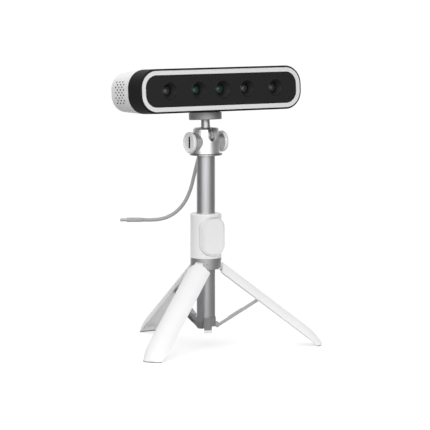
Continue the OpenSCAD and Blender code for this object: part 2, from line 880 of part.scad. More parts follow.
// Lens barrels stand on the bench and end in the window's holes
module barrel(i) {
    radius = lens_d[i] / 2;
    front = head_front - barrel_sink;
    mouth = radius - barrel_lip;
    slope = (mouth - radius * glass_share) / cone_depth;
    color("black") on_ball() translate([lens_x[i], -bench_f, head_z]) rotate([90, 0, 0]) difference() {
        cylinder(r = radius, h = front - bench_f);
        translate([0, 0, front - bench_f - cone_depth])
            cylinder(r1 = radius * glass_share, r2 = mouth + slope * cut, h = cone_depth + cut);
        translate([0, 0, barrel_floor])
            cylinder(r = radius * glass_share, h = front - bench_f - cone_depth);
    }
}

// Domed glasses, each filling its barrel up to the foot of the cone
module lens_glasses() {
    tall = bench_sink - barrel_sink - cone_depth - barrel_floor;
    color("midnightblue") on_ball() for (i = [0:len(lens_x) - 1])
        translate([lens_x[i], -bench_f - barrel_floor, head_z]) rotate([90, 0, 0]) intersection() {
            cylinder(r = lens_d[i] / 2 * glass_share - seat, h = tall);
            translate([0, 0, tall - lens_d[i]]) sphere(lens_d[i]);
        }
}

module optical_bench() {
    color("gray") on_ball() front_plate(ring_bore - bench_rim, bench_f - bench_t, bench_f);
}

module light_board() {
    front = head_front - ring_t - ledge_t;
    color("darkgreen") on_ball() pod()
        slab(ring_bore - bench_rim, corner_r - head_wall - seat, front - light_board_t, front);
}

module main_board() {
    color("darkgreen") on_ball() translate([0, -split_f - board_gap, head_z]) difference() {
        cube([2 * (post_x + board_over), board_t, 2 * (post_z + board_over_z)], center = true);
        for (x = [-post_x, post_x], z = [-post_z, post_z])
            translate([x, 0, z]) cross_pin(screw_d / 2, board_t);
    }
}

module case_screws() {
    color("gray") on_ball() {
        posts(screw_d / 2 - seat, back_f + screw_sink, bench_f - bench_t);
        posts(screw_head_d / 2 - seat, back_f + screw_sink, back_f + screw_sink + screw_head_t);
    }
}

// Cord: tube of even section swept along its route
function unit(v) = v / norm(v);
function heading(i) = unit(cord_route[min(i + 1, len(cord_route) - 1)] - cord_route[max(i - 1, 0)]);
function across(i) = unit(cross(heading(i), [0.8, 0.5, 0.3]));
function cord_ring(i) = [
    for (k = [0:cord_sides - 1])
        let (turn = 360 * k / cord_sides, side = across(i), up = cross(heading(i), side))
        cord_route[i] + cord_d / 2 * (cos(turn) * side + sin(turn) * up)
];

module cord() {
    last = len(cord_route) - 1;
    points = [for (i = [0:last]) each cord_ring(i)];
    walls = [
        for (i = [0:last - 1], k = [0:cord_sides - 1])
            let (n = (k + 1) % cord_sides, a = i * cord_sides, b = a + cord_sides)
            each [[a + k, b + n, a + n], [a + k, b + k, b + n]]
    ];
    first_cap = [for (k = [0:cord_sides - 1]) k];
    last_cap = [for (k = [cord_sides - 1:-1:0]) last * cord_sides + k];
    color("lightgray") polyhedron(points, concat(walls, [first_cap, last_cap]));
}

module cord_gland() {
    color("gray") translate(cord_route[0]) {
        cylinder(r1 = gland_r - gland_taper, r2 = gland_r, h = gland_l);
        translate([0, 0, gland_l]) cylinder(r = gland_r, h = gland_in);
    }
}

module plug_frame() {
    end = len(cord_route) - 1;
    run_out = cord_route[end] - cord_route[end - 1];
    translate(cord_route[end]) rotate([0, 0, atan2(run_out[1], run_out[0])]) children();
}

module pill(width, thick) {
    square([width - thick, thick], center = true);
    for (side = [-1, 1]) translate([side * (width - thick) / 2, 0]) circle(thick / 2);
}

module plug_body() {
    color("lightgray") plug_frame() rotate([90, 0, 90]) linear_extrude(plug_l) pill(plug_w, plug_t);
}

module plug_shell() {
    color("silver") plug_frame() translate([plug_l, 0, 0]) rotate([90, 0, 90])
        linear_extrude(tongue_l) difference() {
            pill(tongue_w, tongue_t);
            pill(tongue_w - 2 * plug_wall, tongue_t - 2 * plug_wall);
        }
}

// Remote control: case that saddles the guide tube, with its whole face as the key
module remote_case() {
    color("white") difference() {
        remote_prism(0, remote_face, remote_back + remote_gap);
        translate([0, 0, sleeve_z]) cylinder(r = remote_back_r, h = sleeve_l);
        remote_prism(-key_rim, remote_face + cut, remote_face - key_t - key_stroke - free);
        translate([0, -remote_back_r - cell_gap, remote_z]) rotate([90, 0, 0])
            cylinder(d = cell_d + 2 * free, h = sleeve_r);
    }
}

module remote_key() {
    front = remote_face + key_proud;
    color("whitesmoke") remote_prism(-key_rim - free, front, front - key_t);
}

module remote_board() {
    back = remote_back_r + cell_gap + cell_t + seat;
    color("darkgreen") translate([0, -back, remote_z]) rotate([90, 0, 0])
        cylinder(d = cell_d, h = remote_board_t);
}

module coin_cell() {
    color("silver") translate([0, -remote_back_r - cell_gap, remote_z]) rotate([90, 0, 0])
        cylinder(d = cell_d, h = cell_t);
}

sleeve();
hub();
hub_bush();
hinge_pins();
leg(leg_azimuths[0]);  // leg_left
leg(leg_azimuths[1]);  // leg_right
leg(leg_azimuths[2]);  // leg_rear
foot_pad(leg_azimuths[0]);  // foot_pad_left
foot_pad(leg_azimuths[1]);  // foot_pad_right
foot_pad(leg_azimuths[2]);  // foot_pad_rear
strut_pin(leg_azimuths[0]);  // strut_pin_left
strut_pin(leg_azimuths[1]);  // strut_pin_right
strut_pin(leg_azimuths[2]);  // strut_pin_rear
strut(leg_azimuths[0]);  // strut_left
strut(leg_azimuths[1]);  // strut_right
strut(leg_azimuths[2]);  // strut_rear
pole_tube();
pole_cap();
collar();
collar_tab();
stage_1();
stage_1_bush();
stage_1_cap();
stage_2();
stage_2_bush();
base_flange();
ball_housing();
ball_seat();
knob(-1);  // knob_left
knob_screw(-1);  // knob_left_screw
knob(1);  // knob_right
knob_screw(1);  // knob_right_screw
ball_stem();
mount_disc();
mount_pad();
front_housing();
light_ring();
front_window();
rear_shell();
barrel(0);  // lens_barrel_1
barrel(1);  // lens_barrel_2
barrel(2);  // lens_barrel_3
barrel(3);  // lens_barrel_4
barrel(4);  // lens_barrel_5
lens_glasses();
optical_bench();
main_board();
light_board();
tripod_insert();
case_screws();
cord_gland();
cord();
plug_body();
plug_shell();
remote_case();
remote_key();
remote_board();
coin_cell();
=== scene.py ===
# Face scanner on a folding tripod stand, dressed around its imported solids.
import math

import bpy
from mathutils import Matrix, Vector


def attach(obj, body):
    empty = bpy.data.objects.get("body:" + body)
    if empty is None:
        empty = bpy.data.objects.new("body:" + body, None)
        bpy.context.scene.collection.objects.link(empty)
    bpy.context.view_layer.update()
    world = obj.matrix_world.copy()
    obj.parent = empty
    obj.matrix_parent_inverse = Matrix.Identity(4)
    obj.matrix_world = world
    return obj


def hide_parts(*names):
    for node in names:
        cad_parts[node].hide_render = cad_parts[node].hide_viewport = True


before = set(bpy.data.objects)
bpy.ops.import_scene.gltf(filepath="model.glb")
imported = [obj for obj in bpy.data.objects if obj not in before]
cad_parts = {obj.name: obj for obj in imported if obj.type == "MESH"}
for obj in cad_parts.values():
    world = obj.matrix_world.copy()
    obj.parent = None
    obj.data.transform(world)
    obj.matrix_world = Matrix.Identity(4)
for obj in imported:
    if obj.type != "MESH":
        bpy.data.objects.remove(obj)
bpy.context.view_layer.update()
MM = 0.001


# Pole and telescopic stages: drawn aluminium tubes, blasted and clear anodised.
# Each slides in the one outside it. Drawing leaves faint lines along the tube.
def linear_colour(code):
    """Turns an sRGB hex value into the linear colour that a shader takes."""
    parts = [int(code[i:i + 2], 16) / 255 for i in (1, 3, 5)]
    bent = [p / 12.92 if p <= 0.04045 else ((p + 0.055) / 1.055) ** 2.4 for p in parts]
    return (*bent, 1.0)


def add_node(tree, kind, inputs=None, **settings):
    """Adds one node, with its settings and the values or links of its inputs."""
    node = tree.nodes.new(kind)
    for name, value in settings.items():
        setattr(node, name, value)
    for name, value in (inputs or {}).items():
        if isinstance(value, bpy.types.NodeSocket):
            tree.links.new(value, node.inputs[name])
        else:
            node.inputs[name].default_value = value
    return node


def start_material(name):
    """Gives a new material, its node tree and its shader, with the output joined."""
    material = bpy.data.materials.new(name)
    material.use_nodes = True
    tree = material.node_tree
    tree.nodes.clear()
    shader = add_node(tree, "ShaderNodeBsdfPrincipled")
    add_node(tree, "ShaderNodeOutputMaterial", {"Surface": shader.outputs["BSDF"]})
    return material, tree, shader


def satin_metal(name, light, dark, roughness, lines_mm, along=None):
    """Metal with a fine finish. Its lines run along one axis, or it is even where there is none."""
    material, tree, shader = start_material(name)
    place = add_node(tree, "ShaderNodeTexCoord").outputs["Object"]
    squeeze = [0.03 if axis == along else 1.0 for axis in range(3)]
    stretched = add_node(tree, "ShaderNodeMapping", {"Vector": place, "Scale": squeeze})
    lines = add_node(tree, "ShaderNodeTexNoise", {
        "Vector": stretched.outputs["Vector"], "Scale": 1 / (lines_mm * MM), "Detail": 4.0})
    tone = add_node(tree, "ShaderNodeMix", {"Factor": lines.outputs["Fac"]}, data_type="RGBA")
    tone.inputs["A"].default_value = linear_colour(dark)
    tone.inputs["B"].default_value = linear_colour(light)
    tree.links.new(tone.outputs["Result"], shader.inputs["Base Color"])
    gloss = add_node(tree, "ShaderNodeMapRange", {
        "Value": lines.outputs["Fac"], "To Min": roughness - 0.05, "To Max": roughness + 0.05})
    tree.links.new(gloss.outputs["Result"], shader.inputs["Roughness"])
    relief = add_node(tree, "ShaderNodeBump", {
        "Height": lines.outputs["Fac"], "Strength": 0.25, "Distance": 0.006 * MM})
    tree.links.new(relief.outputs["Normal"], shader.inputs["Normal"])
    shader.inputs["Metallic"].default_value = 1.0
    return material


def dress(material, slot, *names):
    """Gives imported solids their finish."""
    for name in names:
        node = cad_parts[name]
        node.data.materials.clear()
        node.data.materials.append(material)


# The eye gets a grey tube with one soft bright streak down its middle.
tube_metal = satin_metal("anodised_drawn_aluminium", "#bebec0", "#b0b0b2", 0.42, 0.6, along=2)
dress(tube_metal, "tube", "pole_tube", "stage_1", "stage_2")


# Guide rings and bushes: black acetal, turned, pressed into the mouths and round the feet of the tubes.
# Only the thin rings in the tubes' mouths are ever seen.
def moulded_plastic(name, light, dark, roughness, grain_mm, depth_mm, ior=1.5):
    """Moulded plastic: the tool's grain in its relief and gloss, and a faint drift of colour."""
    material, tree, shader = start_material(name)
    place = add_node(tree, "ShaderNodeTexCoord").outputs["Object"]
    drift = add_node(tree, "ShaderNodeTexNoise", {"Vector": place, "Scale": 1 / (30 * MM), "Detail": 2.0})
    tone = add_node(tree, "ShaderNodeMix", {"Factor": drift.outputs["Fac"]}, data_type="RGBA")
    tone.inputs["A"].default_value = linear_colour(dark)
    tone.inputs["B"].default_value = linear_colour(light)
    tree.links.new(tone.outputs["Result"], shader.inputs["Base Color"])
    grain = add_node(tree, "ShaderNodeTexNoise", {
        "Vector": place, "Scale": 1 / (grain_mm * MM), "Detail": 3.0})
    gloss = add_node(tree, "ShaderNodeMapRange", {
        "Value": grain.outputs["Fac"], "To Min": roughness - 0.05, "To Max": roughness + 0.05})
    tree.links.new(gloss.outputs["Result"], shader.inputs["Roughness"])
    relief = add_node(tree, "ShaderNodeBump", {
        "Height": grain.outputs["Fac"], "Strength": 0.3, "Distance": depth_mm * MM})
    tree.links.new(relief.outputs["Normal"], shader.inputs["Normal"])
    shader.inputs["IOR"].default_value = ior
    return material


# A dull near-black with a slight sheen. Its grain is drawn coarse.
guide_acetal = moulded_plastic("black_acetal", "#2a2a2a", "#222222", 0.4, 0.8, 0.01)
dress(guide_acetal, "dark_plastic", "hub_bush", "pole_cap", "stage_1_bush", "stage_1_cap", "stage_2_bush")


# Collar at the pole's foot and hub under the sleeve: silver-grey filled nylon, moulded.
# The collar is pressed on the tube, and the hub is pinned to the sleeve and carries the leg hinges.
# The pigment's flakes give a soft, slightly metallic grey.
silver_nylon = moulded_plastic("silver_grey_nylon", "#b6b6b6", "#a8a8a8", 0.42, 0.8, 0.02)
silver_nylon.node_tree.nodes["Principled BSDF"].inputs["Metallic"].default_value = 0.85
dress(silver_nylon, "grey_plastic", "hub", "collar")


# Tab on the collar: a small block moulded in two shots, clipped beside the left strut's ears.
# Its body is grey and its lower end is pale.
tab_nylon = moulded_plastic("two_shot_nylon", "#8c8c8c", "#7e7e7e", 0.4, 0.8, 0.02)
tab_tree = tab_nylon.node_tree
tab_height = add_node(tab_tree, "ShaderNodeSeparateXYZ", {
    "Vector": add_node(tab_tree, "ShaderNodeTexCoord").outputs["Object"]})
# The line between the shots is sharp.
TAB_SHOTS_Z, TAB_SHOTS_BLUR = 17.5 * MM, 0.1 * MM
tab_split = add_node(tab_tree, "ShaderNodeMapRange", {
    "Value": tab_height.outputs["Z"],
    "From Min": TAB_SHOTS_Z - TAB_SHOTS_BLUR, "From Max": TAB_SHOTS_Z + TAB_SHOTS_BLUR})
tab_shots = add_node(tab_tree, "ShaderNodeMix", {"Factor": tab_split.outputs["Result"]}, data_type="RGBA")
tab_shots.inputs["A"].default_value = linear_colour("#f0f0ef")
tab_shader = tab_tree.nodes["Principled BSDF"]
tab_tree.links.new(tab_shader.inputs["Base Color"].links[0].from_socket, tab_shots.inputs["B"])
tab_tree.links.new(tab_shots.outputs["Result"], tab_shader.inputs["Base Color"])
dress(tab_nylon, "grey_plastic", "collar_tab")


# Sleeve and legs: white ABS from polished and lightly eroded tools. The sleeve is the grip, and each
# leg is a third of a tube that hangs on a steel pin in the hub.
# The eye sees a satin white whose grain only softens the highlights. The grain is drawn coarse.
white_abs = moulded_plastic("satin_white_abs", "#f3f3f3", "#efefef", 0.42, 0.9, 0.015)
dress(white_abs, "white_plastic", "sleeve", "leg_left", "leg_right", "leg_rear")


# Foot pads: thin moulded rubber soles, glued under the legs' feet and cut level with the floor.
# The eye sees a matt mid-grey, slightly dusty.
pad_rubber = moulded_plastic("moulded_rubber", "#7a7a7a", "#6c6c6c", 0.7, 0.8, 0.03)
dress(pad_rubber, "pad_rubber", "foot_pad_left", "foot_pad_right", "foot_pad_rear")


# Struts: pressed steel bars, grooved along their backs and zinc plated, on steel pins.
# The plating is a cool, uneven satin grey, and the pins are shinier.
strut_metal = satin_metal("zinc_plated_steel", "#bcbcbe", "#acacae", 0.4, 0.7)
dress(strut_metal, "strut_metal", "strut_left", "strut_right", "strut_rear")
bright_steel = satin_metal("bright_steel", "#b8b8b8", "#a8a8a8", 0.25, 0.4)
dress(bright_steel, "steel", "hinge_pins", "strut_pin_left", "strut_pin_right", "strut_pin_rear")


# Flange and ball housing: die-cast zinc, turned and satin chromed. The flange is pressed into the inner
# tube, and the housing turns on it with an acetal seat for the ball.
# The flange is a cool mid-grey with soft reflections. Its turning lines are too fine to see one by one.
flange_metal = satin_metal("satin_chrome_on_zinc", "#b0b0b2", "#a2a2a4", 0.32, 0.5)
dress(flange_metal, "silver_metal", "base_flange")
# The housing is paler than the flange and shows a broad white streak.
cast_metal = satin_metal("pale_satin_chrome", "#e6e6e6", "#dedede", 0.4, 0.5)
dress(cast_metal, "silver_metal", "ball_housing")
dress(guide_acetal, "dark_plastic", "ball_seat")


# Knobs: white ABS cups with a rolled rim, moulded onto the ends of steel clamping screws.
# The floor of each cup has a coin slot. One is modelled on its axis and copied to both sides.
dress(bright_steel, "grey_plastic", "knob_left_screw", "knob_right_screw")


def start_edit(piece):
    """Leaves one object alone selected, with all of its mesh selected in edit mode."""
    bpy.ops.object.select_all(action="DESELECT")
    piece.select_set(True)
    bpy.context.view_layer.objects.active = piece
    bpy.ops.object.mode_set(mode="EDIT")
    bpy.ops.mesh.select_mode(type="FACE")
    bpy.ops.mesh.select_all(action="SELECT")


def pick(piece, domain, test):
    """Selects the vertices, edges or faces whose corners pass a test, in edit mode."""
    bpy.ops.mesh.select_mode(type=domain)
    bpy.ops.mesh.select_all(action="DESELECT")
    bpy.ops.object.mode_set(mode="OBJECT")
    mesh = piece.data
    items = {"VERT": mesh.vertices, "EDGE": mesh.edges, "FACE": mesh.polygons}[domain]
    for item in items:
        corners = [item.co] if domain == "VERT" else [mesh.vertices[i].co for i in item.vertices]
        item.select = bool(test(corners))
    bpy.ops.object.mode_set(mode="EDIT")


def end_edit(piece, name, smooth=40.0):
    """Closes edit mode with outward normals, puts the place into the mesh, shades and names it."""
    bpy.ops.mesh.select_all(action="SELECT")
    bpy.ops.mesh.normals_make_consistent(inside=False)
    bpy.ops.object.mode_set(mode="OBJECT")
    bpy.ops.object.transform_apply(location=True, rotation=True, scale=True)
    bpy.ops.object.shade_smooth_by_angle(angle=math.radians(smooth))
    piece.name = name


def copy_of(piece, name, place):
    """Gives a copy of a piece with its own mesh, moved or turned in that mesh."""
    twin = bpy.data.objects.new(name, piece.data.copy())
    bpy.context.scene.collection.objects.link(twin)
    twin.data.transform(place)
    return twin


def settle(piece, material, body, slot, *solids):
    """Gives a piece its finish, the body that it rides on and the solids that it stands for."""
    piece.data.materials.clear()
    piece.data.materials.append(material)
    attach(piece, body)
    if solids:
        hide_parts(*solids)


def cut_out(piece, tool):
    """Cuts one object out of another and takes the cutter away."""
    bpy.ops.object.select_all(action="DESELECT")
    piece.select_set(True)
    bpy.context.view_layer.objects.active = piece
    modifier = piece.modifiers.new("cut", "BOOLEAN")
    modifier.operation = "DIFFERENCE"
    modifier.object = tool
    bpy.ops.object.modifier_apply(modifier=modifier.name)
    bpy.data.objects.remove(tool)


SLOT_L, SLOT_W, SLOT_FLOOR = 11.5 * MM, 2.8 * MM, 1.4 * MM
# Radius and height of the section, from the inner face round the rim and down into the cup.
KNOB_SECTION = [
    (9.4, 0), (9.95, 0.2), (10.4, 0.65), (10.6, 1.2), (10.6, 2.8), (10.4, 3.35), (9.95, 3.8),
    (9.4, 4), (8.9, 3.95), (8.6, 3.7), (8.35, 3.2), (8.0, 2.95), (7.2, 2.85), (4.0, 2.78),
]
bpy.ops.object.select_all(action="DESELECT")
bpy.ops.mesh.primitive_circle_add(vertices=96, radius=KNOB_SECTION[0][0] * MM, fill_type="NGON")
knob = bpy.context.object
start_edit(knob)
for (radius, height), (wider, higher) in zip(KNOB_SECTION, KNOB_SECTION[1:]):
    bpy.ops.mesh.extrude_region_move(TRANSFORM_OT_translate={"value": (0, 0, (higher - height) * MM)})
    bpy.ops.transform.resize(value=(wider / radius, wider / radius, 1))
end_edit(knob, "knob", smooth=50.0)
bpy.ops.object.select_all(action="DESELECT")
bpy.ops.mesh.primitive_cube_add(
    size=1.0, location=(0, 0, SLOT_FLOOR + 2 * MM), scale=(SLOT_L, SLOT_W, 4 * MM))
cut_out(knob, bpy.context.object)
# Height of the knobs' axis, and how far out their inner faces stand.
KNOB_Z, KNOB_OUT = 206.4 * MM, 16.8 * MM
outward = Matrix.Rotation(math.radians(-90), 4, "Y") @ Matrix.Translation((0, 0, KNOB_OUT))
to_left = Matrix.Translation((0, 0, KNOB_Z)) @ outward
to_right = Matrix.Rotation(math.pi, 4, "Z") @ to_left
far_knob = copy_of(knob, "knob_cup_right", to_right)
knob.data.transform(to_left)
knob.name = "knob_cup_left"
# Polished in the tool, so they look glossier than the sleeve; their whiter colour is painted light that
# offsets the head's shadow on them.
knob_abs_painted_light = moulded_plastic("polished_white_abs_painted_light", "#fcfcfc", "#f8f8f8", 0.28, 0.9, 0.006)
settle(knob, knob_abs_painted_light, "knob_left", "white_plastic", "knob_left")
settle(far_knob, knob_abs_painted_light, "knob_right", "white_plastic", "knob_right")


# Slot shade inserts: pressed steel channels in the coin slots, coloured near-black as painted shade in the
# slots.
# One is modelled with its open side outward and copied.
bpy.ops.object.select_all(action="DESELECT")
SHADE_INSERT_H, SHADE_INSERT_WALL = 1.24 * MM, 0.2 * MM
bpy.ops.mesh.primitive_cube_add(size=1.0, location=(0, 0, SLOT_FLOOR + SHADE_INSERT_H / 2 + 0.05 * MM))
shade_insert = bpy.context.object
start_edit(shade_insert)
bpy.ops.transform.resize(value=(SLOT_L - 0.2 * MM, SLOT_W - 0.1 * MM, SHADE_INSERT_H))
pick(shade_insert, "FACE", lambda c: all(p.z > 0.5 * MM for p in c))
bpy.ops.mesh.inset(thickness=SHADE_INSERT_WALL)
bpy.ops.mesh.extrude_region_move(TRANSFORM_OT_translate={"value": (0, 0, -1.0 * MM)})
end_edit(shade_insert, "slot_shade_insert_left")
# Painted shade: a dull near-black, a little uneven.
painted_slot_shade = satin_metal("slot_shade_black", "#3c3c3c", "#303030", 0.5, 0.5)
far_shade_insert = copy_of(shade_insert, "slot_shade_insert_right", to_right)
shade_insert.data.transform(to_left)
settle(shade_insert, painted_slot_shade, "knob_left", "dark_plastic")
settle(far_shade_insert, painted_slot_shade, "knob_right", "dark_plastic")


# Ball, stem and mounting disc: one turned steel piece with the disc screwed on it, satin nickel.
# The disc is a duller, darker grey than the stem. A thin rubber washer lies on top of it.
stem_metal = satin_metal("satin_nickel", "#b8b8b8", "#acacac", 0.4, 0.4)
dress(stem_metal, "silver_metal", "ball_stem")
disc_metal = satin_metal("blasted_zinc", "#b6b6b6", "#a6a6a6", 0.62, 0.7)
dress(disc_metal, "silver_metal", "mount_disc")
dress(pad_rubber, "pad_rubber", "mount_pad")


# Rear shell: white polycarbonate, drafted and vented, screwed to the front housing. A turned brass
# insert in its underside takes the stud of the stand.
# The shell is smoother and a little glossier than the stand's white, and the brass a warm yellow.
shell_white = moulded_plastic("satin_white_polycarbonate", "#f4f4f4", "#f0f0f0", 0.38, 0.9, 0.01)
dress(shell_white, "shell_white", "rear_shell")
brass_metal = satin_metal("turned_brass", "#c9a45a", "#b8934a", 0.3, 0.4)
dress(brass_metal, "brass", "tripod_insert")


# Dust screens: black open-cell foam, die-cut and glued inside the shell behind the vents. Each has a
# flat middle, two flaps that follow the shell's corners, and a plug in every vent, whose soft head
# bulges a little; their black in the vents is painted shade. The left one is modelled, and its copy is
# mirrored to the right end.
BALL_Z, HEAD_Z, HEAD_LEAN = 212.5 * MM, 258.35 * MM, math.radians(-3.4)
# Head pieces lean back with the ball, about a line through its centre.
lean = Matrix.Translation((0, 0, BALL_Z)) @ Matrix.Rotation(HEAD_LEAN, 4, "X")
lean = lean @ Matrix.Translation((0, 0, -BALL_Z))
# In millimetres: half of the shell's straight core, the radius of its corners at the front and where
# that is, and its draft. Then the vents' middle, spacing, row height and radius, and the screen's place
# and thickness.
CORE_X, CORE_Z, CORNER_R, FRONT_Y, DRAFT = 76.0, 3.35, 18.5, -9.8, math.tan(math.radians(3.5))
VENTS_Y, VENT_STEP, VENT_ROW, VENT_R = 8.2, 6.6, 2.6, 0.8
SCREEN_X, SCREEN_T = 90.2, 1.2
bpy.ops.object.select_all(action="DESELECT")
bpy.ops.mesh.primitive_plane_add(size=1.0)
screen = bpy.context.object
start_edit(screen)
bpy.ops.transform.resize(value=(22 * MM, 6.4 * MM, 1))
for way in (-1, 1):
    pick(screen, "EDGE", lambda c: all(way * p.y > 3 * MM for p in c))
    bpy.ops.mesh.extrude_region_move(TRANSFORM_OT_translate={"value": (0, way * 4.6 * MM, -0.6 * MM)})
    bpy.ops.mesh.extrude_region_move(TRANSFORM_OT_translate={"value": (0, way * 3.6 * MM, -1.2 * MM)})
bpy.ops.mesh.select_all(action="SELECT")
bpy.ops.mesh.extrude_region_move(TRANSFORM_OT_translate={"value": (0, 0, -SCREEN_T * MM)})
end_edit(screen, "dust_screen_left")
# It is drawn flat and set upright against the shell's end wall.
upright = Matrix((
    (0, 0, -1, -SCREEN_X * MM), (-1, 0, 0, VENTS_Y * MM), (0, 1, 0, HEAD_Z), (0, 0, 0, 1)))
screen.data.transform(upright)
bpy.ops.object.select_all(action="DESELECT")
bpy.ops.mesh.primitive_cylinder_add(
    vertices=12, radius=VENT_R * MM, depth=2.2 * MM,
    location=(1.2 * MM, 0, 0), rotation=(0, math.radians(-90), 0))
plug_foam = bpy.context.object
start_edit(plug_foam)
pick(plug_foam, "FACE", lambda c: all(p.z > 1 * MM for p in c))
# The head: wider than the vent along the shell's depth, then domed in two steps.
for out, along, up in ((0.02, 1.5, 1.06), (0.14, 0.88, 0.88), (0.06, 0.55, 0.55)):
    bpy.ops.mesh.extrude_region_move(TRANSFORM_OT_translate={"value": (-out * MM, 0, 0)})
    bpy.ops.transform.resize(value=(1, along, up))
end_edit(plug_foam, "foam_plug")
foam_plugs = []
for row in range(9):
    for column in range(3):
        # Every other row is set half a step further forward.
        back = VENTS_Y + VENT_STEP * (column - 1 + (0.25 if row % 2 == 0 else -0.25))
        up = VENT_ROW * (row - 4)
        # The shell's wall at this vent: drafted towards the back and round above and below its core.
        radius = CORNER_R - (back - FRONT_Y) * DRAFT
        rise = math.copysign(max(0.0, abs(up) - CORE_Z), up)
        reach = math.sqrt(radius ** 2 - rise ** 2)
        square = Vector((-1, 0, 0)).rotation_difference(Vector((-reach, radius * DRAFT, rise)))
        at_wall = Matrix.Translation((-(CORE_X + reach) * MM, back * MM, HEAD_Z + up * MM))
        foam_plugs.append(copy_of(plug_foam, "foam_plug", at_wall @ square.to_matrix().to_4x4()))
bpy.data.objects.remove(plug_foam)
bpy.ops.object.select_all(action="DESELECT")
for piece in (screen, *foam_plugs):
    piece.select_set(True)
bpy.context.view_layer.objects.active = screen
bpy.ops.object.join()
far_screen = copy_of(screen, "dust_screen_right", lean @ Matrix.Diagonal((-1, 1, 1, 1)))
screen.data.transform(lean)
far_screen.data.flip_normals()
# Painted shade: the near-black foam that fills each vent makes it a dark dot, in place of the shade inside
# the holes.
vent_shade_foam = moulded_plastic("black_foam_vent_shade", "#121212", "#0a0a0a", 0.9, 0.6, 0.2, ior=1.2)
settle(screen, vent_shade_foam, "scanner_head", "dark_plastic")
settle(far_screen, vent_shade_foam, "scanner_head", "dark_plastic")


# Case screws: four steel cross-head screws, sunk into the back of the shell.
# Each has a pan head with a rounded rim, a cross recess and a plain shank. One is modelled and copied.
SCREW_HEAD_R, SCREW_HEAD_H, SCREW_SHANK_L = 2.25 * MM, 1.6 * MM, 44 * MM
SCREW_X, SCREW_Y, SCREW_Z = 67 * MM, 28 * MM, 11 * MM
bpy.ops.mesh.primitive_cylinder_add(vertices=48, radius=SCREW_HEAD_R, depth=SCREW_HEAD_H)
screw = bpy.context.object
start_edit(screw)
pick(screw, "EDGE", lambda c: all(p.z > 0.7 * MM for p in c))
bpy.ops.mesh.bevel(offset=0.5 * MM, segments=4, affect="EDGES")
pick(screw, "FACE", lambda c: all(p.z < -0.7 * MM for p in c))
bpy.ops.mesh.inset(thickness=1.1 * MM)
bpy.ops.mesh.extrude_region_move(TRANSFORM_OT_translate={"value": (0, 0, -SCREW_SHANK_L)})
end_edit(screw, "case_screw")
for turn in (0, 90):
    bpy.ops.object.select_all(action="DESELECT")
    bpy.ops.mesh.primitive_cube_add(size=1.0, location=(0, 0, 0.6 * MM))
    blade = bpy.context.object
    blade.scale = (2.7 * MM, 0.55 * MM, 1.2 * MM)
    blade.rotation_euler = (0, 0, math.radians(turn + 20))
    bpy.ops.object.transform_apply(location=True, rotation=True, scale=True)
    cut_out(screw, blade)
# The screw's axis lies along the head's depth, with its head at the back.
into_back = Matrix.Rotation(math.radians(-90), 4, "X")
corners = [(x, z) for x in (-SCREW_X, SCREW_X) for z in (HEAD_Z - SCREW_Z, HEAD_Z + SCREW_Z)]
for number, (x, z) in enumerate(corners, 1):
    place = lean @ Matrix.Translation((x, SCREW_Y, z)) @ into_back
    twin = copy_of(screw, f"case_screw_{number}", place)
    settle(twin, bright_steel, "scanner_head", "steel", "case_screws")
bpy.data.objects.remove(screw)


# Front housing: black polycarbonate, moulded with a fine satin grain; the shell's lip snaps into it.
# Only a soft grey sheen along its top shows its shape.
housing_black = moulded_plastic(
    "satin_black_polycarbonate", "#222222", "#1e1e1e", 0.52, 0.8, 0.01, ior=1.18)
dress(housing_black, "black_plastic", "front_housing")


# Light ring: a diffuser moulded in milky acrylic, pressed into a groove round the window.
# Unlit it is an even, slightly glossy pale grey.
ring_milk = moulded_plastic("milky_diffuser_acrylic", "#f0f0f0", "#ececec", 0.3, 1.2, 0.003)
dress(ring_milk, "diffuser", "light_ring")


# Window: a polished plate of tinted acrylic with five holes for the lenses, glued inside the ring.
# It is so dark that only a faint even sheen shows.
window_tint = moulded_plastic("tinted_acrylic", "#242424", "#202020", 0.2, 1.2, 0.002, ior=1.4)
dress(window_tint, "dark_window", "front_window")


# Lens barrels: black anodised aluminium, turned, with a conical mouth that ends at the glass.
# Almost no light comes back from the cone.
barrel_black = moulded_plastic("black_anodised_aluminium", "#2e2e2e", "#282828", 0.45, 0.6, 0.006, ior=1.35)
dress(barrel_black, "black_plastic", *[f"lens_barrel_{i}" for i in range(1, 6)])


# Lens glasses: ground front elements, strongly domed, each clamped at the bottom of its cone.
# The second and third have a green coating, the others a grey one. One is modelled and copied.
LENS_X = (-61.2, -27.4, 0.6, 29.5, 63.3)
LENS_R = (8.2, 8.2, 8.75, 8.2, 8.2)
DOME_R, GLASS_R, GLASS_Y = 6.2 * MM, 4.95 * MM, -23.3 * MM
bpy.ops.object.select_all(action="DESELECT")
bpy.ops.mesh.primitive_circle_add(vertices=64, radius=GLASS_R, fill_type="NGON")
glass = bpy.context.object
start_edit(glass)
bpy.ops.mesh.extrude_region_move(TRANSFORM_OT_translate={"value": (0, 0, 2.5 * MM)})
# The dome rises in rings, from the angle at its edge to a small flat at its top.
edge = math.asin(GLASS_R / DOME_R)
angles = [edge * (1 - step / 8) + 0.02 * (step > 0) for step in range(9)]
for here, there in zip(angles, angles[1:]):
    bpy.ops.mesh.inset(thickness=DOME_R * (math.sin(here) - math.sin(there)))
    bpy.ops.transform.translate(value=(0, 0, DOME_R * (math.cos(there) - math.cos(here))))
end_edit(glass, "lens_glass")


